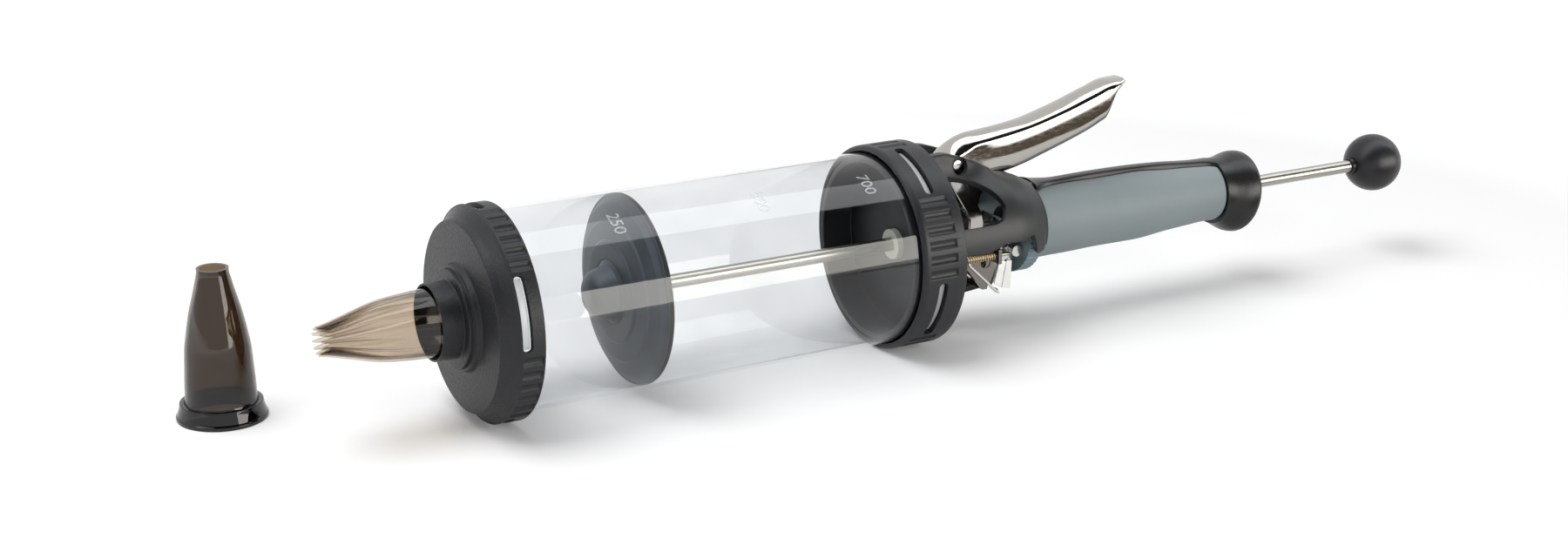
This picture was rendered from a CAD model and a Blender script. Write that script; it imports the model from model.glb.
"""Looks of a pastry syringe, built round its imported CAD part.

Tables are in millimetres in the part's frame: X runs along the barrel from the nozzle to the
ball knob, Z is up, and a bearing is an angle about X with 0 towards -Y and 90 up.
"""
import math
import bpy
import bmesh
import numpy as np
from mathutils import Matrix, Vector


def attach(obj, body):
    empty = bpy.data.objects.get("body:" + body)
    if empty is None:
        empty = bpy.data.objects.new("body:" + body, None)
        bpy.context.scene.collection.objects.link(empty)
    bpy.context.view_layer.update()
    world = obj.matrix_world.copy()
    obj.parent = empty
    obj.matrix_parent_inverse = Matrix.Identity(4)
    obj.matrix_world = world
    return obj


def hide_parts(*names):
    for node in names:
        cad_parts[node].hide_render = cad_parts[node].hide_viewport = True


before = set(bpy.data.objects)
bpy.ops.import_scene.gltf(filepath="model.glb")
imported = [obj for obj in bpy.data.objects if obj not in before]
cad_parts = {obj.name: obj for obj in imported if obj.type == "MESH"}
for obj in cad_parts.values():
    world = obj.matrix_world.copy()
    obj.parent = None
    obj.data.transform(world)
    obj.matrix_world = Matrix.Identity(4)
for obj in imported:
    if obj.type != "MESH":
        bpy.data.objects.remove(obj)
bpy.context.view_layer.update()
MM = 0.001

# Driving sizes, in millimetres and degrees
TUBE_R, BORE_R = 38.0, 36.5
TUBE_X0, TUBE_X1 = -8.45, 170.85
RING_R, RING_BORE = 40.6, 38.3
LUG_TOP, LUG_W, LUG_SPAN = 38.85, 3.0, 38.0
FRONT_LUG_X, FRONT_LUG_AT = -6.95, 15.85
REAR_LUG_X, REAR_LUG_AT = 167.0, 63.25
SLOT_REACH, SLOT_HALF = 19.75, 1.95
CAGE_X, CAGE_LONG, GRIP_X, POMMEL_X = 177.35, 54.5, 231.85, 326.85
PIVOT_X, PIVOT_Z = 192.85, 31.0
LEVER_HALF = 6.4
SPARE_AT = (-90.4, 50.4)
FLOOR_Z = -40.6
BALL_X, BALL_R = 418.5, 12.5
NEAR_AXIS = 0.01


# Mesh helpers

def soft_corners(points, radius, steps=4):
    """Rounds each corner of a loop of points with a quadratic curve that starts and ends at
    most `radius` from the corner, and never past the middle of a side."""
    p = np.asarray(points, float)
    n = len(p)
    out = []
    for i in range(n):
        a, b, c = p[i - 1], p[i], p[(i + 1) % n]
        la, lc = np.linalg.norm(a - b), np.linalg.norm(c - b)
        straight = np.dot(b - a, c - b) / max(la * lc, 1e-9)
        if straight > 0.985:
            out.append(b[None])
            continue
        start = b + (a - b) / la * min(radius, la * 0.45)
        end = b + (c - b) / lc * min(radius, lc * 0.45)
        t = np.linspace(0, 1, steps + 1)[:, None]
        out.append((1 - t) ** 2 * start + 2 * t * (1 - t) * b + t ** 2 * end)
    return np.concatenate(out)


def smooth_line(points, count):
    """A smooth line through points: each coordinate follows a monotone cubic of the
    length along the chords, sampled at `count` even steps."""
    p = np.asarray(points, float)
    s = np.concatenate([[0], np.cumsum(np.linalg.norm(np.diff(p, axis=0), axis=1))])
    t = np.linspace(0, s[-1], count)
    h = np.diff(s)[:, None]
    d = np.diff(p, axis=0) / h
    m = np.zeros_like(p)
    m[0], m[-1] = d[0], d[-1]
    same = d[:-1] * d[1:] > 0
    m[1:-1] = np.where(same, 2 * d[:-1] * d[1:] / np.where(same, d[:-1] + d[1:], 1), 0)
    k = np.clip(np.searchsorted(s, t, side="right") - 1, 0, len(s) - 2)
    w = ((t - s[k]) / np.diff(s)[k])[:, None]
    hk = h[k]
    return ((2 * w**3 - 3 * w**2 + 1) * p[k] + (w**3 - 2 * w**2 + w) * hk * m[k]
            + (3 * w**2 - 2 * w**3) * p[k + 1] + (w**3 - w**2) * hk * m[k + 1])


def grid_faces(rows, cols, wrap_rows, wrap_cols):
    """Quads between neighbouring rows and columns of a grid, joined round where it wraps."""
    i = np.arange(rows if wrap_rows else rows - 1)[:, None]
    j = np.arange(cols if wrap_cols else cols - 1)[None, :]
    i2, j2 = (i + 1) % rows, (j + 1) % cols
    return np.stack([i * cols + j, i * cols + j2, i2 * cols + j2, i2 * cols + j],
                    axis=-1).reshape(-1, 4)


def capped_faces(rows, cols):
    """Quads of a run of closed sections, with both end sections closed."""
    faces = [list(f) for f in grid_faces(rows, cols, False, True)]
    return faces + [list(range(cols))[::-1], list(range((rows - 1) * cols, rows * cols))]


def joined(parts):
    """Joins lists of (points, faces) into one pair."""
    points, faces, base = [], [], 0
    for p, f in parts:
        p = np.asarray(p, float).reshape(-1, 3)
        points.append(p)
        faces += [[i + base for i in face] for face in f]
        base += len(p)
    return np.concatenate(points), faces


def round_x(x, r, bearing):
    """The point at a radius and a bearing in degrees about X: (x, -r cos b, r sin b)."""
    b = np.radians(bearing)
    return np.stack([x, -r * np.cos(b), r * np.sin(b)], axis=-1)


def turned_grid(profile, columns, wobble=None):
    """A profile of (x, radius) carried once round the X axis. `wobble(x, r, bearing)` may
    change the radius."""
    p = np.asarray(profile, float)
    x = np.repeat(p[:, :1], columns, axis=1)
    r = np.repeat(p[:, 1:2], columns, axis=1)
    b = np.repeat(np.arange(columns)[None, :] * 360 / columns, len(p), axis=0)
    if wobble is not None:
        r = wobble(x, r, b)
    return round_x(x, r, b)


def new_mesh(name, points, faces):
    """A mesh from points in millimetres, with doubles merged and faces turned outwards."""
    mesh = bpy.data.meshes.new(name)
    pts = np.asarray(points, float).reshape(-1, 3) * MM
    mesh.from_pydata(pts.tolist(), [], [list(map(int, f)) for f in faces])
    work = bmesh.new()
    work.from_mesh(mesh)
    bmesh.ops.remove_doubles(work, verts=work.verts, dist=2e-6)
    bmesh.ops.dissolve_degenerate(work, edges=work.edges, dist=1e-7)
    bmesh.ops.recalc_face_normals(work, faces=work.faces)
    work.to_mesh(mesh)
    work.free()
    return mesh


def smooth_up_to(mesh, crease):
    """Smooth shading with sharp edges above the crease angle."""
    mesh.polygons.foreach_set("use_smooth", [True] * len(mesh.polygons))
    mesh.set_sharp_from_angle(angle=math.radians(crease))


def in_scene(name, mesh):
    """Puts a mesh into the scene as an object at the origin."""
    thing = bpy.data.objects.new(name, mesh)
    bpy.context.scene.collection.objects.link(thing)
    return thing


def new_piece(name, points, faces, body, slot, material, stands_for=(), crease=40.0):
    """Makes a piece of the visual model and ties it to its CAD body."""
    mesh = new_mesh(name, points, faces)
    smooth_up_to(mesh, crease)
    mesh.materials.append(material)
    piece = in_scene(name, mesh)
    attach(piece, body)
    if stands_for:
        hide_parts(*stands_for)
    return piece


def turned_piece(name, profile, columns, body, slot, material, stands_for=(), wobble=None,
                 crease=40.0, place=None):
    """A turned solid from a closed loop of (x, radius). `place` may move its grid."""
    grid = turned_grid(profile, columns, wobble)
    if place is not None:
        grid = place(grid)
    faces = grid_faces(len(profile), columns, True, True)
    return new_piece(name, grid, faces, body, slot, material, stands_for, crease)


def plate_piece(name, outline, y0, y1, body, material, bevel):
    """A steel plate parallel to the XZ plane between y0 and y1, with softened edges."""
    o = np.asarray(outline, float)
    pts = [np.column_stack([o[:, 0], np.full(len(o), y), o[:, 1]]) for y in (y0, y1)]
    piece = new_piece(name, np.concatenate(pts), capped_faces(2, len(o)), body, "polished_steel",
                      material)
    soften(piece, bevel)
    return piece


def soften(piece, width):
    """Rounds the sharp edges of a piece with a bevel modifier."""
    m = piece.modifiers.new("soft_edges", "BEVEL")
    m.width = width * MM
    m.segments = 3
    m.limit_method = "ANGLE"
    m.angle_limit = math.radians(35)
    m.harden_normals = True


# Cutters

def sweep_cutter(table, r0, r1, across=24):
    """A cutter between radii r0 and r1: at each station (x, low bearing, high bearing) of the
    table it spans the arc between the two bearings."""
    rows = []
    for x, low, high in table:
        b = np.linspace(low, high, across)
        xx = np.full(across, x)
        rows.append(np.concatenate([round_x(xx, r1, b), round_x(xx, r0, b[::-1])]))
    return in_scene("cutter", new_mesh("cutter", rows, capped_faces(len(rows), 2 * across)))


def box_cutter(low, high):
    """A plain box between two corners."""
    (x0, y0, z0), (x1, y1, z1) = low, high
    ring = [(x0, y0), (x1, y0), (x1, y1), (x0, y1)]
    points = [(x, y, z) for z in (z0, z1) for x, y in ring]
    return in_scene("cutter", new_mesh("cutter", points, capped_faces(2, 4)))


def round_cutter(x, z, radius, y0, y1, sides=48):
    """A round bar along Y."""
    a = np.arange(sides) * 2 * math.pi / sides
    rows = [np.column_stack([x + radius * np.cos(a), np.full(sides, y), z + radius * np.sin(a)])
            for y in (y1, y0)]
    return in_scene("cutter", new_mesh("cutter", rows, capped_faces(2, sides)))


def cut_away(piece, cutter, crease=40):
    """Cuts the cutter's shape out of a piece and keeps the result in the piece's mesh."""
    m = piece.modifiers.new("cut", "BOOLEAN")
    m.object = cutter
    m.operation = "DIFFERENCE"
    m.solver = "EXACT"
    bpy.context.view_layer.update()
    graph = bpy.context.evaluated_depsgraph_get()
    done = bpy.data.meshes.new_from_object(piece.evaluated_get(graph))
    piece.modifiers.clear()
    old = piece.data
    piece.data = done
    bpy.data.meshes.remove(old)
    bpy.data.objects.remove(cutter)
    smooth_up_to(done, crease)


# Materials

def shader_start(name):
    """An empty material with its output node."""
    mat = bpy.data.materials.new(name)
    mat.use_nodes = True
    nodes = mat.node_tree.nodes
    nodes.clear()
    out = nodes.new("ShaderNodeOutputMaterial")
    return mat, nodes, mat.node_tree.links, out


def noise(nodes, links, scale, detail=3.0, stretch=(1, 1, 1)):
    """Noise on Object coordinates, stretched by scaling the coordinates."""
    where = nodes.new("ShaderNodeTexCoord")
    mapping = nodes.new("ShaderNodeMapping")
    mapping.inputs["Scale"].default_value = stretch
    tex = nodes.new("ShaderNodeTexNoise")
    tex.inputs["Scale"].default_value = scale
    tex.inputs["Detail"].default_value = detail
    links.new(where.outputs["Object"], mapping.inputs["Vector"])
    links.new(mapping.outputs["Vector"], tex.inputs["Vector"])
    return tex.outputs["Fac"]


def ramp(nodes, links, source, at_low, low, at_high, high):
    """The colour between low and high, as a source value goes from at_low to at_high."""
    r = nodes.new("ShaderNodeValToRGB")
    stops = r.color_ramp.elements
    stops[0].position, stops[0].color = at_low, low
    stops[1].position, stops[1].color = at_high, high
    links.new(source, r.inputs["Fac"])
    return r.outputs["Color"]


def grey(v):
    """A neutral colour."""
    return (v, v, v, 1)


def dimmed(colour, share):
    """A colour with all its parts multiplied."""
    return tuple(c * share for c in colour) + (1,)


def mixed(nodes, links, share, first, second):
    """Mixes two shaders. The share is a number or the socket that gives it."""
    mix = nodes.new("ShaderNodeMixShader")
    if isinstance(share, float):
        mix.inputs["Fac"].default_value = share
    else:
        links.new(share, mix.inputs["Fac"])
    links.new(first, mix.inputs[1])
    links.new(second, mix.inputs[2])
    return mix.outputs["Shader"]


def relief_normal(nodes, links, height, strength, depth, round_mm):
    """The normal of a fine relief on a surface whose edges look rounded."""
    edge = nodes.new("ShaderNodeBevel")
    edge.samples = 4
    edge.inputs["Radius"].default_value = round_mm * MM
    relief = nodes.new("ShaderNodeBump")
    relief.inputs["Strength"].default_value = strength
    relief.inputs["Distance"].default_value = depth * MM
    links.new(height, relief.inputs["Height"])
    links.new(edge.outputs["Normal"], relief.inputs["Normal"])
    return relief.outputs["Normal"]


def moulded_plastic(name, colour, rough, grain=2600, bump=0.05, round_mm=0.3, spread=0.12):
    """Moulded plastic: fine eroded grain, slight colour clouds and rounded edges."""
    mat, nodes, links, out = shader_start(name)
    skin = nodes.new("ShaderNodeBsdfPrincipled")
    skin.inputs["Specular IOR Level"].default_value = 0.36
    clouds = noise(nodes, links, 60, 4)
    tint = ramp(nodes, links, clouds, 0.3, dimmed(colour, 1 - spread), 0.7, dimmed(colour, 1 + spread))
    fine = noise(nodes, links, grain, 2)
    gloss = ramp(nodes, links, fine, 0.3, grey(max(rough - 0.06, 0.02)), 0.7, grey(rough + 0.06))
    normal = relief_normal(nodes, links, fine, bump, 0.2, round_mm)
    links.new(tint, skin.inputs["Base Color"])
    links.new(gloss, skin.inputs["Roughness"])
    links.new(normal, skin.inputs["Normal"])
    links.new(skin.outputs["BSDF"], out.inputs["Surface"])
    return mat


def steel(name, colour, rough, stretch=(1, 1, 1), bump=0.03, round_mm=0.15, scale=900):
    """Steel: metallic, with fine drawn or polished lines along the stretched direction."""
    mat, nodes, links, out = shader_start(name)
    skin = nodes.new("ShaderNodeBsdfPrincipled")
    skin.inputs["Metallic"].default_value = 1.0
    lines = noise(nodes, links, scale, 3, stretch)
    tint = ramp(nodes, links, lines, 0.25, dimmed(colour, 0.94), 0.75, dimmed(colour, 1))
    gloss = ramp(nodes, links, lines, 0.3, grey(max(rough - 0.05, 0.03)), 0.7, grey(rough + 0.05))
    normal = relief_normal(nodes, links, lines, bump, 0.1, round_mm)
    links.new(tint, skin.inputs["Base Color"])
    links.new(gloss, skin.inputs["Roughness"])
    links.new(normal, skin.inputs["Normal"])
    links.new(skin.outputs["BSDF"], out.inputs["Surface"])
    return mat


def clear_wall(name, tint, gloss_rough=0.02, clouds_scale=25, dim=0.04, share=1.0, rim=1.0):
    """Thin clear plastic: light passes straight through, tinted, and the outside mirrors
    by Fresnel. Faint moulding clouds vary the tint, and towards grazing views, where the path
    through the wall is longer, the tint deepens to its share `rim`."""
    mat, nodes, links, out = shader_start(name)
    pass_on = nodes.new("ShaderNodeBsdfTransparent")
    clouds = noise(nodes, links, clouds_scale, 2)
    shade = ramp(nodes, links, clouds, 0.35, dimmed(tint, 1 - dim), 0.65, dimmed(tint, 1))
    facing = nodes.new("ShaderNodeLayerWeight")
    facing.inputs["Blend"].default_value = 0.5
    depth = ramp(nodes, links, facing.outputs["Facing"], 0.45, grey(1.0), 1.0, grey(rim))
    deeper = nodes.new("ShaderNodeMix")
    deeper.data_type = "RGBA"
    deeper.blend_type = "MULTIPLY"
    deeper.inputs["Factor"].default_value = 1.0
    links.new(shade, deeper.inputs[6])
    links.new(depth, deeper.inputs[7])
    links.new(deeper.outputs[2], pass_on.inputs["Color"])
    mirror = nodes.new("ShaderNodeBsdfGlossy")
    mirror.inputs["Roughness"].default_value = gloss_rough
    mirror.inputs["Color"].default_value = (1, 1, 1, 1)
    fresnel = nodes.new("ShaderNodeFresnel")
    fresnel.inputs["IOR"].default_value = 1.0 + 0.49 * share
    side = nodes.new("ShaderNodeNewGeometry")
    outside = nodes.new("ShaderNodeMath")
    outside.operation = "SUBTRACT"
    outside.use_clamp = True
    links.new(fresnel.outputs["Fac"], outside.inputs[0])
    links.new(side.outputs["Backfacing"], outside.inputs[1])
    both = mixed(nodes, links, outside.outputs[0], pass_on.outputs["BSDF"], mirror.outputs["BSDF"])
    links.new(both, out.inputs["Surface"])
    return mat


def frosted_wall(name, white):
    """Clear plastic whose cut edges catch the light: a clear wall with a share of white haze."""
    mat = clear_wall(name, (0.93, 0.935, 0.94), 0.2, share=1.2)
    nodes, links = mat.node_tree.nodes, mat.node_tree.links
    out = next(n for n in nodes if n.type == "OUTPUT_MATERIAL")
    clear = out.inputs["Surface"].links[0].from_socket
    haze = nodes.new("ShaderNodeBsdfDiffuse")
    haze.inputs["Color"].default_value = (0.93, 0.94, 0.95, 1)
    links.new(mixed(nodes, links, white, clear, haze.outputs["BSDF"]), out.inputs["Surface"])
    return mat


CHARCOAL = moulded_plastic("charcoal_plastic", (0.012, 0.013, 0.015), 0.42, bump=0.12)
GRAINED = moulded_plastic("grained_plastic", (0.012, 0.013, 0.015), 0.44, grain=900, bump=0.5)
CAGE_PLASTIC = moulded_plastic("cage_plastic", (0.013, 0.014, 0.016), 0.40, bump=0.1, round_mm=0.9)
BLACK = moulded_plastic("black_plastic", (0.009, 0.009, 0.010), 0.32, bump=0.05, round_mm=0.5)
KNOB = moulded_plastic("knob_plastic", (0.011, 0.011, 0.013), 0.36, bump=0.03, round_mm=0.1, grain=1500)
SLATE = moulded_plastic("slate_plastic", (0.085, 0.098, 0.112), 0.4, bump=0.06)
GRIP = moulded_plastic("grip_rubber", (0.235, 0.275, 0.285), 0.62, bump=0.08, spread=0.03)
SEAL = moulded_plastic("seal_rubber", (0.02, 0.02, 0.02), 0.6, bump=0.05)
WHEEL = moulded_plastic("wheel_plastic", (0.17, 0.235, 0.26), 0.35, bump=0.03)
BUSH = moulded_plastic("bush_plastic", (0.55, 0.54, 0.48), 0.4)
POLISHED = steel("polished_steel", (0.46, 0.44, 0.41), 0.10, (1, 3, 3), bump=0.02, scale=400)
ROD = steel("rod_steel", (0.40, 0.385, 0.345), 0.30, (0.15, 6, 6), bump=0.06)
DARK_STEEL = steel("dark_steel", (0.20, 0.185, 0.165), 0.2, scale=700)
BRIGHT = steel("bright_steel", (0.80, 0.79, 0.76), 0.2, scale=700)
PRESSED = steel("pressed_steel", (0.60, 0.59, 0.57), 0.18, scale=700)
BRASS = steel("spring_brass", (0.86, 0.68, 0.40), 0.22, bump=0.02, round_mm=0.05)
CLEAR = clear_wall("clear_plastic", (0.955, 0.960, 0.965), 0.015)
CLEAR_EDGE = frosted_wall("clear_number_plastic", 0.16)
CLEAR_LUG = frosted_wall("clear_lug_plastic", 0.30)
SMOKE = clear_wall("smoke_plastic", (0.42, 0.355, 0.285), clouds_scale=18, dim=0.03, rim=0.35)
DARK_SMOKE = clear_wall("dark_smoke_plastic", (0.05, 0.043, 0.036), dim=0.05, rim=0.2)
PALE_SMOKE = clear_wall("pale_smoke_plastic", (0.84, 0.79, 0.73), rim=0.45)

CAD_FINISH = {
    "front_cap": CHARCOAL, "rear_cap": CHARCOAL, "cage": CAGE_PLASTIC, "front_gasket": SEAL,
    "rear_gasket": SEAL, "piston_disc": SLATE, "piston_seal": SEAL, "piston_washer": POLISHED,
    "piston_nut": POLISHED, "rod": ROD, "knob_collar": BLACK, "ball_knob": KNOB,
    "front_bush": BUSH, "rear_bush": BUSH, "lever": POLISHED, "lever_pivot_pin": PRESSED,
    "drive_carrier": DARK_STEEL, "drive_plate": PRESSED, "carrier_rivets": PRESSED,
    "return_spring": BRASS, "spring_guide_pin": ROD, "release_plate": PRESSED,
    "release_pivot_pin": PRESSED, "dose_wheel": WHEEL, "handle_core": BLACK,
    "grip_sleeve": GRIP, "pommel": BLACK, "tube": CLEAR, "star_nozzle": PALE_SMOKE,
    "spare_nozzle": SMOKE,
}
for node, finish in CAD_FINISH.items():
    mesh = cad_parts[node].data
    mesh.materials.clear()
    mesh.materials.append(finish)


# Barrel

def bayonet_lugs():
    """Four lugs at each end of the tube: a rounded bar section swept over the lug's span, whose
    height over the tube falls along a quarter circle towards both ends."""
    parts = []
    h = LUG_W / 2
    for x, at in ((FRONT_LUG_X, FRONT_LUG_AT), (REAR_LUG_X, REAR_LUG_AT)):
        section = soft_corners([(x - h, TUBE_R), (x + h, TUBE_R), (x + h, LUG_TOP), (x - h, LUG_TOP)],
                               LUG_ROUND)
        for quarter in range(4):
            middle = at + 90 * quarter
            run = np.linspace(middle - LUG_SPAN / 2, middle + LUG_SPAN / 2, 40)[:, None]
            ends = np.clip(np.minimum(run - run[0], run[-1] - run) / LUG_END, 0, 1)
            height = LUG_LOW + (1 - LUG_LOW) * np.sqrt(1 - (1 - ends) ** 2)
            grid = round_x(section[None, :, 0] + 0 * run,
                           TUBE_R + (section[None, :, 1] - TUBE_R) * height, run + 0 * section[None, :, 1])
            parts.append((grid, capped_faces(*grid.shape[:2])))
    return parts


def raised_number(text, x):
    """A number raised on the tube: flat letters bent round it, so the writing runs round the
    circumference (bearing = middle - s / r) and the letters' tops point along +X."""
    letters = bpy.data.curves.new("raised_" + text, "FONT")
    letters.body = text
    letters.size = NUMBER_HIGH * MM
    letters.extrude = NUMBER_DEEP * MM
    letters.align_x = "CENTER"
    letters.align_y = "CENTER"
    letters.resolution_u = 3
    flat = in_scene("flat_" + text, letters)
    graph = bpy.context.evaluated_depsgraph_get()
    mesh = bpy.data.meshes.new_from_object(flat.evaluated_get(graph))
    bpy.data.objects.remove(flat)
    co = np.zeros(len(mesh.vertices) * 3)
    mesh.vertices.foreach_get("co", co)
    co = co.reshape(-1, 3) / MM
    bent = round_x(x + co[:, 1], TUBE_R + co[:, 2] + NUMBER_LIFT,
                   NUMBER_AT - np.degrees(co[:, 0] / TUBE_R))
    faces = [list(f.vertices) for f in mesh.polygons]
    bpy.data.meshes.remove(mesh)
    return new_piece("raised_number_" + text, bent, faces, "barrel", "clear_plastic", CLEAR_EDGE,
                     crease=30)


LUG_ROUND, LUG_END, LUG_LOW = 0.4, 0.8, 0.75
NUMBER_AT, NUMBER_HIGH, NUMBER_DEEP, NUMBER_LIFT = 59, 6.9, 0.16, 0.14

tube_wall = soft_corners([(TUBE_X0, BORE_R), (TUBE_X0, TUBE_R), (TUBE_X1, TUBE_R), (TUBE_X1, BORE_R)],
                         0.5)
turned_piece("clear_barrel", tube_wall, 288, "barrel", "clear_plastic", CLEAR, ["tube"])
new_piece("barrel_lugs", *joined(bayonet_lugs()), "barrel", "clear_plastic", CLEAR_LUG)
for number, number_x in (("250", 38.2), ("500", 97.7), ("700", 144.0)):
    raised_number(number, number_x)


# Caps

GROOVE_R, GROOVE_DEEP, GROOVE_FADE = 2.2, 0.85, 0.7
TRACK_ROOM = 0.3


def lug_track(x):
    """The groove inside a ring in which the barrel's lugs turn, run through along -X."""
    w = LUG_W / 2 + TRACK_ROOM
    top = LUG_TOP + TRACK_ROOM
    return [(x + w, RING_BORE), (x + w, top), (x - w, top), (x - w, RING_BORE)]


FRONT_CAP_LINE = [
    (-27.9, 13.5), (-27.9, 14.4), (-19.7, 14.4), (-19.7, 18.6), (-17.6, 18.6), (-17.6, 19.5),
    (-15.5, 20.3), (-15.5, 35.5), (-12.8, 36.7), (-9.3, 39.7), (-9.2, RING_R), (0, RING_R),
    (0, RING_BORE), *lug_track(FRONT_LUG_X), (-9.05, RING_BORE), (-9.05, 37.0), (-10.95, 37.0),
    (-10.95, 34.4), (-12.5, 34.4), (-12.5, 17.1), (-16.0, 17.1), (-16.0, 15.7), (-19.1, 15.7),
    (-19.1, 13.5)]
REAR_CAP_LINE = [
    (158.15, RING_BORE), (158.15, 39.7), (159.0, 40.3), (159.85, RING_R), (CAGE_X, RING_R),
    (CAGE_X, 22.8), (173.35, 22.8), (173.35, 6.0), (169.85, 6.0), (169.85, 33.9), (156.85, 33.9),
    (156.85, 36.2), (173.3, 36.2), (173.3, RING_BORE), *lug_track(REAR_LUG_X)]


def groove_lift(first, pitch, x0, x1):
    """Six round-bottomed grooves in each quarter: at a distance s across a groove the surface
    drops to the arc sqrt(R^2 - s^2), and the drop fades towards the groove's ends."""
    bearings = np.array([first + i * pitch + 90 * q for q in range(4) for i in range(6)])

    def wobble(x, r, b):
        off = (b[..., None] - bearings + 180) % 360 - 180
        s = np.abs(np.radians(off)).min(axis=-1) * RING_R
        drop = np.sqrt(np.clip(GROOVE_R ** 2 - s ** 2, 0, None)) - (GROOVE_R - GROOVE_DEEP)
        near_end = np.clip(np.minimum(x - x0, x1 - x) / GROOVE_FADE, 0, 1)
        fade = np.sqrt(1 - (1 - near_end) ** 2)
        on_ring = (r > RING_R - 0.02) & (x > x0) & (x < x1)
        return np.where(on_ring, r - np.clip(drop, 0, None) * fade, r)
    return wobble


def with_stations(loop, x0, x1, count):
    """Adds stations to the outer ring line of a loop, closer at both ends of the grooves, so
    that the grooves can be pressed in there."""
    out = []
    for i, a in enumerate(loop):
        b = loop[(i + 1) % len(loop)]
        out.append(a)
        if abs(a[1] - RING_R) < 1e-6 and abs(b[1] - RING_R) < 1e-6 and abs(b[0] - a[0]) > 3:
            near = np.array([-0.01, 0.05, 0.2, 0.4, 0.7])
            x = np.concatenate([x0 + near, np.linspace(x0 + 1, x1 - 1, count), x1 - near[::-1]])
            if b[0] < a[0]:
                x = x[::-1]
            out += [(v, RING_R) for v in x if min(a[0], b[0]) < v < max(a[0], b[0])]
    return np.array(out)


def stadium_table(x, at):
    """Stations of a bayonet slot with round ends, centred at a bearing."""
    turn = math.degrees(SLOT_HALF / RING_R)
    t = np.radians(np.linspace(-88, 88, 19))
    reach = SLOT_REACH - turn * (1 - np.cos(t))
    return list(zip(x + SLOT_HALF * np.sin(t), at - reach, at + reach))


def bayonet_cap(name, node, body, material, line, corner, columns, grooves, slot_x, slot_at):
    """A turned cap with finger grooves in its ring and four bayonet slots. `grooves` gives the
    first bearing, the pitch, both ends and the number of stations."""
    first, pitch, x0, x1, count = grooves
    loop = [tuple(p) for p in soft_corners(line, corner, 3)]
    cap = turned_piece(name, with_stations(loop, x0, x1, count), columns, body,
                       "charcoal_plastic", material, [node], groove_lift(first, pitch, x0, x1),
                       crease=50)
    for quarter in range(4):
        table = stadium_table(slot_x, slot_at + 90 * quarter)
        cut_away(cap, sweep_cutter(table, TUBE_R - 0.6, RING_R + 1.5), 50)


bayonet_cap("nozzle_cap_shell", "front_cap", "nozzle_cap", GRAINED, FRONT_CAP_LINE, 0.45, 768,
            (40.3, 8.08, -8.6, -0.8, 12), FRONT_LUG_X, FRONT_LUG_AT)
bayonet_cap("rear_cap_shell", "rear_cap", "handle", CHARCOAL, REAR_CAP_LINE, 0.5, 864,
            (-1.7, 8.14, 160.9, 173.1, 14), REAR_LUG_X, REAR_LUG_AT)


# Nozzles, as lines of (height over the flange's underside, radius)

FLANGE_LINE = [(0, 12.1), (0, 16.9), (3.5, 16.9), (3.5, 15.5), (6.6, 15.5), (6.6, 13.1)]
STAR_LINE = [(6.6, 13.1), (11.7, 12.85), (16.8, 12.65), (23.4, 12.3), (29.5, 11.8), (33.5, 11.3),
             (37.6, 10.5), (44.2, 8.7), (50.0, 7.1), (54.3, 6.0), (57.4, 5.4)]
PLAIN_FOOT = [(0, 12.2), (0, 16.8), (1.3, 16.8), (1.8, 16.3), (5.4, 15.3), (6.4, 15.2), (6.5, 13.5)]
PLAIN_LINE = [(6.6, 13.3), (9.3, 13.1), (12.7, 13.0), (19.5, 12.6), (26.3, 12.2), (32.3, 11.3),
              (39.7, 9.9), (52.4, 6.7), (56.7, 5.85), (57.4, 5.9)]
NOZZLE_FOOT, NOZZLE_TOP, PLAIN_WALL = 6.6, 57.4, 1.1
STAR_FOLDS, FOLD_DEEP, FOLD_FROM, TOOTH = 12, 1.9, 0.16, 5.2
CAP_INSIDE_X = -12.5


def star_grid(columns=432, rows=70):
    """The star nozzle's wall. Along the height h the mean radius follows a smooth line, and at
    angle a it is pressed in by depth(h) * f(a), with f = (1 - |sin(6 a)|)^1.25, which makes
    twelve sharp folds. In the folds the tip's height drops by the tooth length."""
    line = smooth_line(STAR_LINE, rows)
    a = np.arange(columns) * 2 * math.pi / columns
    share = (line[:, 0] - NOZZLE_FOOT) / (NOZZLE_TOP - NOZZLE_FOOT)
    grow = np.clip((share - FOLD_FROM) / (1 - FOLD_FROM), 0, 1)[:, None] ** 0.9
    fold = (1 - np.abs(np.sin(a * STAR_FOLDS / 2))[None, :]) ** 1.25
    uneven = 1 + 0.12 * np.sin(3 * a + 1)[None, :]
    pressed = fold * grow * uneven
    h = line[:, :1] - TOOTH * pressed * share[:, None]
    r = line[:, 1:2] - FOLD_DEEP * pressed * (0.45 + 0.55 * line[:, 1:2] / STAR_LINE[0][1])
    inside = r - np.clip(0.95 - 0.35 * grow, 0.5, 1)
    foot = np.array(soft_corners(FLANGE_LINE, 0.3, 2)[2:-2])[:, None] + np.zeros((1, columns, 1))
    h = np.concatenate([foot[..., 0], h, h[::-1]])
    r = np.concatenate([foot[..., 1], r, inside[::-1]])
    return np.stack([CAP_INSIDE_X - h, r * np.cos(a), r * np.sin(a)], axis=-1)


def stood_up(grid):
    """Stands a piece turned about X on the floor at the spare nozzle's place."""
    return np.stack([SPARE_AT[0] + grid[..., 1], SPARE_AT[1] + grid[..., 2], FLOOR_Z + grid[..., 0]],
                    axis=-1)


def darken_below(piece, height, material):
    """Gives the thick foot of a clear piece its deeper tint, up to a height."""
    mesh = piece.data
    mesh.materials.append(material)
    middle = np.zeros(len(mesh.polygons) * 3)
    mesh.polygons.foreach_get("center", middle)
    mesh.polygons.foreach_set("material_index", (middle[2::3] < height * MM).astype(int))


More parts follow.
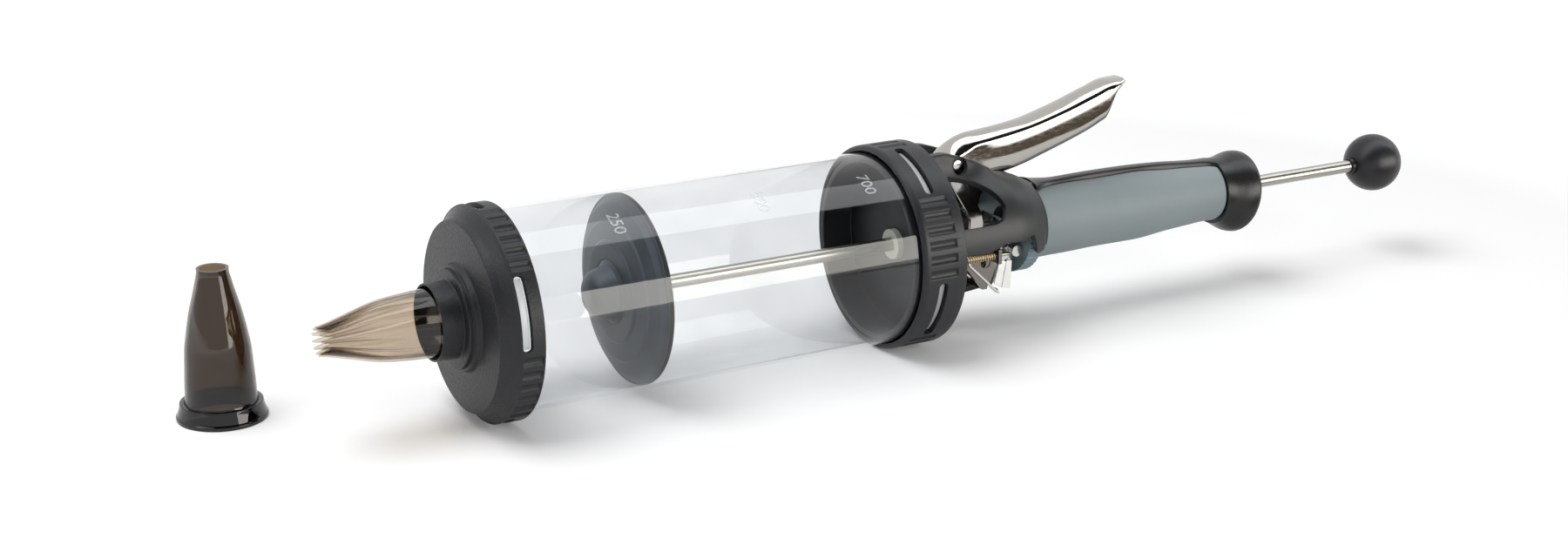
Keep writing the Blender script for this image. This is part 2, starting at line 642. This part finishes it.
star = star_grid()
new_piece("star_nozzle_shell", star, grid_faces(*star.shape[:2], True, True), "nozzle_cap",
          "smoke_plastic", PALE_SMOKE, ["star_nozzle"], crease=60)

plain_out = smooth_line(PLAIN_LINE, 40)
plain_loop = np.concatenate([soft_corners(PLAIN_FOOT, 0.25, 3), plain_out,
                             (plain_out - [0, PLAIN_WALL])[::-1]])
spare = turned_piece("spare_nozzle_shell", plain_loop, 192, "spare", "smoke_plastic", SMOKE,
                     ["spare_nozzle"], crease=50, place=stood_up)
darken_below(spare, FLOOR_Z + 6.4, DARK_SMOKE)


# Plunger

PISTON_NOSE = [(34.5, 0.02), (34.6, 3.0), (35.4, 6.0), (37.4, 8.4), (40.4, 9.6), (43.6, 10.6)]
PISTON_DISC = [
    (44.4, 12.5), (44.6, 19.0), (45.5, 19.8), (46.2, 26.6), (47.2, 27.4), (48.7, 33.0), (50.6, 35.2),
    (50.7, 36.3), (51.3, 36.3), (51.3, 35.6), (52.4, 35.6), (52.4, 36.3), (53.0, 36.3), (53.0, 34.4),
    (51.4, 32.4), (49.5, 27.0), (48.3, 19.0), (48.0, 6.0), (52.8, 6.0)]
PISTON_BORE = [(52.8, 2.7), (38.5, 2.7), (38.5, 0.02)]
BALL_NECK_X, BALL_NECK_R, ROD_SEAT = 411.0, 3.62, 2.72
SOCKET_LINE = [(404.6, ROD_SEAT), (404.6, 3.4), (405.2, 3.58), (411, 3.58), (411, ROD_SEAT)]

piston_loop = np.concatenate([smooth_line(PISTON_NOSE, 26), soft_corners(PISTON_DISC, 0.3, 3),
                              PISTON_BORE])
turned_piece("piston", piston_loop, 288, "plunger", "slate_plastic", SLATE, ["piston_disc"],
             crease=35)

arc = np.radians(np.linspace(0, 180, 72))
ball_line = np.column_stack([BALL_X - BALL_R * np.cos(arc), BALL_R * np.sin(arc)])
ball_line = ball_line[ball_line[:, 1] > 3.4]
ball_skin = smooth_line(np.concatenate([ball_line[1:], [(BALL_X + BALL_R, NEAR_AXIS)]]), 80)
ball_loop = np.concatenate([
    [(BALL_NECK_X, ROD_SEAT), (BALL_NECK_X, BALL_NECK_R), (ball_line[0, 0] + 0.15, BALL_NECK_R)],
    ball_skin, [(415.0, NEAR_AXIS), (415.0, ROD_SEAT)]])
turned_piece("ball", ball_loop, 144, "plunger", "black_plastic", KNOB, ["ball_knob"], crease=50)
turned_piece("ball_socket", soft_corners(SOCKET_LINE, 0.25, 3), 96, "plunger", "black_plastic",
             BLACK, ["knob_collar"])


# Lever

LEVER_TOP = [(187.6, 31.6), (188.4, 33.0), (191.9, 34.9), (194.7, 37.6), (198.8, 39.5), (202.9, 40.4),
             (211.2, 41.0), (228, 42.8), (244.9, 46.9), (262, 52.4), (270.6, 54.6), (276.8, 54.7)]
LEVER_CREASE = [(187.6, 30.6), (188.4, 31.6), (191.9, 33.0), (194.7, 33.6), (198.8, 35.2),
                (202.9, 37.2), (211.2, 38.3), (228, 40.9), (244.9, 45.0), (262, 50.3), (270.6, 53.3),
                (276.8, 54.4)]
LEVER_LOW = [(187.6, 29.6), (188.4, 27.6), (190.5, 26.0), (215.7, 24.8), (224.1, 26.2), (236.8, 29.8),
             (258.1, 36.6), (263.3, 38.9), (267.2, 40.9), (269.2, 45.2), (271.6, 50.6), (276.8, 53.7)]
LEVER_FRONT, LEVER_MOUTH, LEVER_TAPER, LEVER_TIP = 187.6, 215, 262, 276.8
LEVER_SHEET = 0.8
LEG_OUTLINE = soft_corners([
    (188.0, 31.6), (188.2, 28.6), (199.9, 9.5), (199.9, 4), (201.3, 0.7), (203.9, 0.0), (206.4, 0.7),
    (207.8, 4), (206.4, 9.5), (198.6, 22.5), (199.6, 27.5), (199, 32.6), (191, 32.2)], 1.8)
LEG_OUTSIDE, LEG_INSIDE = 6.32, 5.4


def lever_grid():
    """The lever's skin: at each station x the section climbs the near side from the lower edge
    to the crease, crosses the web, and comes down the far side. The web is the arch
    z = crease + rise (1 - u^2), u from -1 to 1 across the width, and the sides curl in."""
    x = np.concatenate([np.linspace(LEVER_FRONT, LEVER_MOUTH, 40)[:-1],
                        np.linspace(LEVER_MOUTH, LEVER_TAPER, 40)[:-1],
                        np.linspace(LEVER_TAPER, LEVER_TIP, 32)])
    lines = [smooth_line(points, 400) for points in (LEVER_TOP, LEVER_CREASE, LEVER_LOW)]
    top, crease, low = [np.interp(x, line[:, 0], line[:, 1])[:, None] for line in lines]
    half = (LEVER_HALF - np.clip((x - 268) / 9, 0, 1) ** 2 * 3.2)[:, None]
    free = np.clip((x - 205) / 12, 0, 1)[:, None]
    wall = np.linspace(0, 1, 25)[None, :]
    u = np.linspace(-1, 1, 21)[None, :]
    curl = 0.28 * np.clip(1 - wall / 0.5, 0, 1) ** 2 + 0.10 * np.clip((wall - 0.72) / 0.28, 0, 1) ** 2
    curl = curl - 0.02 * np.sin(math.pi * np.clip(wall / 0.85, 0, 1))
    near = np.stack([x[:, None] + 0 * wall, -half * (1 - free * curl), low + (crease - low) * wall],
                    axis=-1)
    rise = np.maximum(top - crease - 0.25, 0.02)
    arch = np.stack([x[:, None] + 0 * u, half * (1 - 0.10 * free) * u * 0.985,
                     crease + 0.25 + rise * (1 - u ** 2)], axis=-1)
    far = near[:, ::-1] * np.array([1, -1, 1])
    return np.concatenate([near, arch[:, 1:-1], far], axis=1)


def thicken(piece, thickness):
    """Gives a skin its sheet thickness, inwards from the outside face."""
    m = piece.modifiers.new("sheet", "SOLIDIFY")
    m.thickness = thickness * MM
    m.offset = 1


lever_skin = lever_grid()
lever_shell = new_piece("squeeze_lever_shell", lever_skin,
                        grid_faces(*lever_skin.shape[:2], False, False), "squeeze_lever",
                        "polished_steel", POLISHED, ["lever"], crease=70)
thicken(lever_shell, LEVER_SHEET)
for side, side_name in ((1, "near"), (-1, "far")):
    plate_piece("lever_leg_" + side_name, LEG_OUTLINE, -LEG_OUTSIDE * side, -LEG_INSIDE * side,
                "squeeze_lever", POLISHED, 0.2)


# Handle

GRIP_FRONT, GRIP_BACK, CORE_BORE = GRIP_X + 0.1, POMMEL_X - 0.1, 9.0
GRIP_LINE = smooth_line([(GRIP_FRONT, 15.45), (236, 15.25), (248, 15.2), (265, 14.9), (283, 15.0),
                         (302, 13.6), (311, 13.1), (321, 12.6), (GRIP_BACK, 12.7)], 110)
SPINE_LINE = smooth_line([(GRIP_FRONT, 18.4), (236, 17.5), (246, 16.6), (263, 16.8), (281, 16.6),
                          (299, 15.8), (317, 14.3), (GRIP_BACK, 13.9)], 110)
PANEL_SEAM, PANEL_THICK, PANEL_ROUND = 0.35, 0.6, 0.7
POMMEL_LINE = [(0, 13.3), (5, 14.3), (8, 15.4), (11, 16.6), (13.3, 17.2), (15.4, 17.3), (17.1, 16.6),
               (18.4, 14.8), (19.4, 12.2), (20.3, 9.0), (20.9, 6.0), (21.2, 3.2)]
POMMEL_BORE = [(21.2, 3.05), (17, 3.05), (9, CORE_BORE)]
POMMEL_TILT, POMMEL_LEAD, POMMEL_RISE = 10, 2, 0.5


def grip_r(x):
    """The grip's radius at a station."""
    return np.interp(x, GRIP_LINE[:, 0], GRIP_LINE[:, 1])


def spine_half(x):
    """Half width of the black spine, which flares into the cage and into the pommel."""
    return 2.6 + 5.0 * np.exp((GRIP_X - x) / 5) + 3.0 * np.exp((x - POMMEL_X) / 3)


def core_wobble(x, r, b):
    """Raises the spine over the core: a flat-topped ridge whose sides fall by a smooth step."""
    s = np.abs(np.radians((b - 90 + 180) % 360 - 180)) * r
    t = np.clip((spine_half(x) + 0.5 - s) / 1.4, 0, 1)
    top = np.interp(x, SPINE_LINE[:, 0], SPINE_LINE[:, 1])
    return np.where(r > 11, r + (top - r) * t * t * (3 - 2 * t), r)


def panel_grid(rows=120, cols=150):
    """The grey grip panel: at station x an arc from the spine's one side round to its other,
    0.6 mm thick, whose outer face drops along a quarter circle towards every border."""
    front, back = GRIP_X + PANEL_SEAM, POMMEL_X - 0.25
    x = (front + (back - front) * (1 - np.cos(np.linspace(0, math.pi, rows))) / 2)[:, None]
    reach = 180 - np.degrees((spine_half(x) + PANEL_SEAM) / grip_r(x))
    u = np.sin(np.linspace(-math.pi / 2, math.pi / 2, cols))[None, :]
    b = -90 + reach * u
    to_side = np.radians(reach * (1 - np.abs(u))) * grip_r(x)
    inward = np.minimum(to_side, np.minimum(x - x[0], x[-1] - x))
    drop = 0.32 * (1 - np.sqrt(1 - (1 - np.clip(inward / PANEL_ROUND, 0, 1)) ** 2))
    xx = x + 0 * b
    outer = round_x(xx, grip_r(x) - drop, b)
    inner = round_x(xx, grip_r(x) - PANEL_THICK + 0 * b, b)
    return np.concatenate([outer, inner[:, ::-1]], axis=1)


def tilted(grid):
    """Turns the pommel by its tilt about Y and trims it flat where the handle meets it."""
    a = math.radians(POMMEL_TILT)
    x, y, z = grid[..., 0], grid[..., 1], grid[..., 2]
    px = POMMEL_X - POMMEL_LEAD + x * math.cos(a) + z * math.sin(a)
    pz = POMMEL_RISE - x * math.sin(a) + z * math.cos(a)
    return np.stack([np.maximum(px, POMMEL_X), y, pz], axis=-1)


core_line = np.column_stack([GRIP_LINE[:, 0], GRIP_LINE[:, 1] - 0.3])
core_loop = np.concatenate([[(GRIP_FRONT, CORE_BORE)], core_line, [(GRIP_BACK, CORE_BORE)]])
turned_piece("handle_core_shell", core_loop, 360, "handle", "black_plastic", BLACK,
             ["handle_core"], core_wobble, crease=45)
panel = panel_grid()
new_piece("grip_panel", panel, capped_faces(*panel.shape[:2]), "handle", "grip_rubber", GRIP,
          ["grip_sleeve"], crease=60)
pommel_loop = np.concatenate([[(0, CORE_BORE)], smooth_line(POMMEL_LINE, 70), POMMEL_BORE])
turned_piece("pommel_shell", pommel_loop, 240, "handle", "black_plastic", BLACK, ["pommel"],
             crease=60, place=tilted)


# Cage, its lines as shares of its length and of a radius

CAGE_R, CHEEK_TOP, CHEEK_Y, SLOT_Z = 28.4, 36.5, 6.7, 10.0
CAGE_SHARES = [(0, 1), (0.358, 0.982), (0.45, 0.975), (0.523, 0.961), (0.633, 0.94), (0.78, 0.859),
               (0.853, 0.796), (0.908, 0.742), (0.936, 0.715), (0.972, 0.634), (1, 0.599)]
CHEEK_SHARES = [(0, 1), (0.14, 1.008), (0.266, 0.959), (0.376, 0.904), (0.578, 0.756), (0.651, 0.685),
                (0.761, 0.63), (0.9, 0.52), (1, 0.485)]
CAGE_FRONT_LINE = [(177.4, 23.5), (177.4, 29.6), (177.8, 30.0), (179.0, 30.0), (179.35, 29.7),
                   (179.5, 28.5)]
CAGE_WALL, WHEEL_ROOM_R, WHEEL_X0, WHEEL_X1 = 2.5, 19.55, 220.5, 228.6
CHEEK_WALL, CHEEK_FROM, CHEEK_FULL, CHEEK_POWER = 3.2, 50, 15.5, 6
PIN_RECESS_R, PIN_RECESS_Y = 3.6, 7.9
PIN_LINE = [(-8.9, NEAR_AXIS), (-8.9, 1.5), (-8.75, 1.9), (-8.4, 2.05), (8.4, 2.05), (8.75, 1.9),
            (8.9, 1.5), (8.9, NEAR_AXIS)]

# Openings of the cage: stations X with the bearings of their edges
WINDOW_LOW = [(176, 21), (199, 21), (203, 22.4), (205.5, 26.5), (206.6, 31), (207.0, 34.8)]
WINDOW_HIGH = [(176, 67), (189, 66), (196.6, 62), (201.9, 54), (205, 46), (206.4, 40), (207.0, 35.2)]
GAP_TOP = [(179.45, -2), (186, -1), (195, -1.5), (200, 1), (205.2, 3.6), (213.3, 3), (219.2, 5.8),
           (220.4, 2), (221.7, -6.6), (222.6, -14.5), (224.4, -17.5), (228, -18.3), (232.5, -18.5)]
NEAR_GAP_LOW, FAR_GAP_LOW = -97, 228


def along_cage(shares, radius, count):
    """A smooth line along the cage from its shares."""
    return smooth_line([(CAGE_X + CAGE_LONG * s, radius * k) for s, k in shares], count)


cage_line = along_cage(CAGE_SHARES, CAGE_R, 80)
cheek_line = along_cage(CHEEK_SHARES, CHEEK_TOP, 60)


def cage_wobble(x, r, b):
    """Draws the cage's skin up into the lever's cheeks: from 50 to 15.5 degrees beside the top
    the radius grows with the sixth power of the way, up to the cheeks' top line z = cheek(x)."""
    side = np.abs((b - 90 + 180) % 360 - 180)
    t = np.clip((CHEEK_FROM - side) / (CHEEK_FROM - CHEEK_FULL), 0, 1) ** CHEEK_POWER
    skin = np.interp(x, cage_line[:, 0], cage_line[:, 1])
    cheek = np.interp(x, cheek_line[:, 0], cheek_line[:, 1])
    top = cheek / np.cos(np.radians(np.minimum(side, 30)))
    target = np.where(r < skin - 0.9, top - CHEEK_WALL, top)
    return np.where(r > skin - 4.2, r + (np.maximum(target, r) - r) * t, r)


def window_table(mirrored):
    """Stations of a side window between its low and high edges, as bearings."""
    low, high = smooth_line(WINDOW_LOW, 60), smooth_line(WINDOW_HIGH, 60)
    round_end = 199 + 8 * np.sin(np.linspace(0.1, math.pi / 2, 22))
    x = np.concatenate([np.linspace(176, 199, 12), round_end])
    a, b = [np.interp(x, line[:, 0], line[:, 1]) for line in (low, high)]
    return list(zip(x, 180 - b, 180 - a)) if mirrored else list(zip(x, a, b))


def across_pivot(grid):
    """Lays a piece turned about X along the lever's pivot."""
    return np.stack([PIVOT_X + grid[..., 1], grid[..., 0], PIVOT_Z + grid[..., 2]], axis=-1)


inner_line = cage_line[(cage_line[:, 0] > 179.5) & (cage_line[:, 0] < 228.7)] - [0, CAGE_WALL]
by_wheel = (inner_line[:, 0] > WHEEL_X0) & (inner_line[:, 0] < WHEEL_X1)
inner_line[by_wheel, 1] = np.maximum(inner_line[by_wheel, 1], WHEEL_ROOM_R)
cage_loop = np.concatenate([CAGE_FRONT_LINE, cage_line[cage_line[:, 0] > 180.0],
                            [(GRIP_X, CORE_BORE), (228.8, CORE_BORE)], inner_line[::-1],
                            [(179.4, 23.5)]])
cage = turned_piece("cage_shell", cage_loop, 360, "handle", "charcoal_plastic", CAGE_PLASTIC,
                    ["cage"], cage_wobble, crease=45)
gap_line = smooth_line(GAP_TOP, 70)
for table in (window_table(False), window_table(True), [(x, NEAR_GAP_LOW, b) for x, b in gap_line],
              [(x, 180 - b, FAR_GAP_LOW) for x, b in gap_line]):
    cut_away(cage, sweep_cutter(table, 14, 42), 45)
cut_away(cage, box_cutter((179.4, -CHEEK_Y, SLOT_Z), (229.6, CHEEK_Y, 60)), 45)
for y0, y1 in ((-30, -PIN_RECESS_Y), (PIN_RECESS_Y, 30)):
    cut_away(cage, round_cutter(PIVOT_X, PIVOT_Z, PIN_RECESS_R, y0, y1), 45)
turned_piece("pivot_pin", PIN_LINE, 64, "handle", "polished_steel", PRESSED, ["lever_pivot_pin"],
             place=across_pivot)


# Mechanism below the rod

WEB_OUTLINE = [(198.6, -5.2), (198.6, -10.4), (199.4, -11.8), (212.4, -24.0), (213.4, -24.3),
               (213.0, -23.0), (210.1, -21.6), (212.1, -11.2), (211.9, -10.2), (203, -5.2)]
RIM_OUTLINE = [(198.4, -10.5), (199.2, -12.0), (212.6, -24.8), (213.8, -25.2), (213.9, -24.4),
               (212.9, -24.0), (199.9, -11.5), (199.3, -10.3)]
WEB_OUTSIDE, WEB_INSIDE, RIM_OUTSIDE, RIM_INSIDE = 9.55, 9.22, 10.0, 7.7
WEB_HOLE = (206.9, -11.2, 2.4, -12, 12)
RELEASE_FOLDS = [
    [(210.7, -9.9, -20.6), (213.5, -10.5, -22.0), (216.0, -10.5, -11.8), (213.2, -9.9, -11.2)],
    [(214.6, -9.7, -22.7), (218.0, -10.8, -23.1), (218.6, -10.8, -11.4), (216.8, -9.7, -11.4)]]
FOLD_SHEET = 0.6


def leaf(corners, thickness):
    """A thin sheet from four corners, thickened along its normal."""
    c = np.asarray(corners, float)
    normal = np.cross(c[1] - c[0], c[3] - c[0])
    normal /= np.linalg.norm(normal)
    return np.concatenate([c, c + normal * thickness]), capped_faces(2, 4)


for side, side_name in ((1, "near"), (-1, "far")):
    web = plate_piece("carrier_web_" + side_name, WEB_OUTLINE, -WEB_OUTSIDE * side,
                      -WEB_INSIDE * side, "carrier", DARK_STEEL, 0.05)
    cut_away(web, round_cutter(*WEB_HOLE))
    plate_piece("carrier_rim_" + side_name, RIM_OUTLINE, -RIM_OUTSIDE * side, -RIM_INSIDE * side,
                "carrier", PRESSED, 0.12)
    folds = [leaf(np.array(fold) * [1, side, 1], FOLD_SHEET) for fold in RELEASE_FOLDS]
    flanges = new_piece("release_flanges_" + side_name, *joined(folds), "release",
                        "polished_steel", BRIGHT)
    soften(flanges, 0.15)


# Floor, light and camera, in metres

GLOW_NEAR, GLOW_FAR, GLOW_LOW = 0.38, 0.95, 0.10
CARD_AWAY = 0.95
FLOOR = FLOOR_Z * MM


def seen_directly(nodes, links):
    """1 for rays from the camera, mirrors and clear plastic, and 0 for light that falls on the
    object."""
    ray = nodes.new("ShaderNodeLightPath")
    found = ray.outputs["Is Camera Ray"]
    for kind in ("Is Transmission Ray", "Is Glossy Ray"):
        larger = nodes.new("ShaderNodeMath")
        larger.operation = "MAXIMUM"
        links.new(found, larger.inputs[0])
        links.new(ray.outputs[kind], larger.inputs[1])
        found = larger.outputs[0]
    return found


def floor_paper():
    """Pale paper that keeps its shadow. Where it is seen directly it also glows, weakly by the
    object and up to white far from it."""
    mat, nodes, links, out = shader_start("floor_paper")
    diffuse = nodes.new("ShaderNodeBsdfDiffuse")
    tone = ramp(nodes, links, noise(nodes, links, 30, 2), 0.3, grey(0.8557), 0.7, grey(0.86))
    links.new(tone, diffuse.inputs["Color"])
    where = nodes.new("ShaderNodeTexCoord")
    away = nodes.new("ShaderNodeVectorMath")
    away.operation = "DISTANCE"
    away.inputs[1].default_value = (0.16, 0, FLOOR)
    links.new(where.outputs["Object"], away.inputs[0])
    rise = nodes.new("ShaderNodeMapRange")
    for socket, value in (("From Min", GLOW_NEAR), ("From Max", GLOW_FAR), ("To Min", GLOW_LOW)):
        rise.inputs[socket].default_value = value
    links.new(away.outputs["Value"], rise.inputs["Value"])
    glow = nodes.new("ShaderNodeEmission")
    links.new(rise.outputs["Result"], glow.inputs["Strength"])
    both = nodes.new("ShaderNodeAddShader")
    links.new(diffuse.outputs["BSDF"], both.inputs[0])
    links.new(glow.outputs["Emission"], both.inputs[1])
    mix = mixed(nodes, links, seen_directly(nodes, links), diffuse.outputs["BSDF"],
                both.outputs["Shader"])
    links.new(mix, out.inputs["Surface"])
    return mat


def plain_emission(name, colour, strength=1.0):
    """A glow of one colour, for the cards that only reflections see."""
    mat, nodes, links, out = shader_start(name)
    glow = nodes.new("ShaderNodeEmission")
    glow.inputs["Color"].default_value = colour
    glow.inputs["Strength"].default_value = strength
    links.new(glow.outputs["Emission"], out.inputs["Surface"])
    return mat


def stage_plane(name, corners, material):
    """A flat four-cornered panel of the stage."""
    mesh = bpy.data.meshes.new(name)
    mesh.from_pydata([tuple(c) for c in corners], [], [(0, 1, 2, 3)])
    mesh.materials.append(material)
    panel = in_scene(name, mesh)
    return panel


def flat_panel(name, x0, x1, y0, y1, z, material):
    """A panel of the stage that lies flat."""
    return stage_plane(name, [(x0, y0, z), (x1, y0, z), (x1, y1, z), (x0, y1, z)], material)


def mirror_only(panel):
    """Makes a card that only reflections see."""
    panel.visible_camera = False
    panel.visible_diffuse = False
    panel.visible_shadow = False
    panel.visible_transmission = False
    panel.visible_volume_scatter = False


def card_between(name, low_bearing, high_bearing, x0, x1, material):
    """A card parallel to the barrel between two bearings seen from the barrel's axis."""
    x = np.array([x0, x1, x1, x0])
    bearings = np.array([low_bearing, low_bearing, high_bearing, high_bearing])
    mirror_only(stage_plane(name, round_x(x, CARD_AWAY, bearings).tolist(), material))


def area_light(name, place, target, size, power, colour):
    """A soft box that lights a target and isn't seen itself."""
    data = bpy.data.lights.new(name, "AREA")
    data.shape = "RECTANGLE"
    data.size, data.size_y = size
    data.energy = power
    data.color = colour
    lamp = in_scene(name, data)
    lamp.location = place
    way = Vector(target) - Vector(place)
    lamp.rotation_euler = way.to_track_quat("-Z", "Y").to_euler()
    lamp.visible_glossy = False
    lamp.visible_camera = False


def studio_world():
    """A world that is white where it is seen directly and a softer fill light elsewhere."""
    world = bpy.data.worlds.new("studio")
    world.use_nodes = True
    nodes, links = world.node_tree.nodes, world.node_tree.links
    nodes.clear()
    out = nodes.new("ShaderNodeOutputWorld")
    white = nodes.new("ShaderNodeBackground")
    white.inputs["Color"].default_value = (1, 1, 1, 1)
    white.inputs["Strength"].default_value = 1.0
    fill = nodes.new("ShaderNodeBackground")
    fill.inputs["Color"].default_value = (0.97, 0.985, 1, 1)
    fill.inputs["Strength"].default_value = 0.42
    mix = mixed(nodes, links, seen_directly(nodes, links), fill.outputs["Background"],
                white.outputs["Background"])
    links.new(mix, out.inputs["Surface"])
    return world


flat_panel("floor", -6, 6, -6, 6, FLOOR, floor_paper())
card_between("warm_card", -5, 25, 0.30, 2.2, plain_emission("warm_glow", (1.0, 0.975, 0.90, 1), 6.5))
card_between("dark_card", 25.2, 72, -2.0, 3.0, plain_emission("dark_felt", (0.02, 0.02, 0.022, 1)))
mirror_only(flat_panel("table_card", 0.345, 0.62, -0.40, -0.075, FLOOR + 0.001,
                       plain_emission("table_glow", (0.16, 0.13, 0.10, 1))))
card_between("top_card", 73, 104, -1.5, 2.5, plain_emission("top_glow", (0.95, 0.98, 1.0, 1), 3.0))
area_light("key_box", (-0.35, 0.25, 1.3), (0.15, 0, 0), (1.2, 0.9), 17, (1, 1, 1))
area_light("front_box", (0.7, -1.2, 0.5), (0.2, 0, 0), (0.9, 0.6), 6, (1, 0.985, 0.95))
bpy.context.scene.world = studio_world()

# Camera solved from the barrel's ellipses: metres and degrees
CAMERA_AT = (-0.3463, -0.8158, 0.2940)
CAMERA_AZIMUTH, CAMERA_ELEVATION, CAMERA_LENS = -29.71, 17.61, 58.46
lens = bpy.data.cameras.new("camera")
lens.lens = CAMERA_LENS
lens.sensor_width = 36
camera = in_scene("camera", lens)
camera.location = CAMERA_AT
camera.rotation_euler = (math.radians(90 - CAMERA_ELEVATION), 0, math.radians(CAMERA_AZIMUTH))
bpy.context.scene.camera = camera
bpy.context.scene.view_settings.view_transform = "Standard"
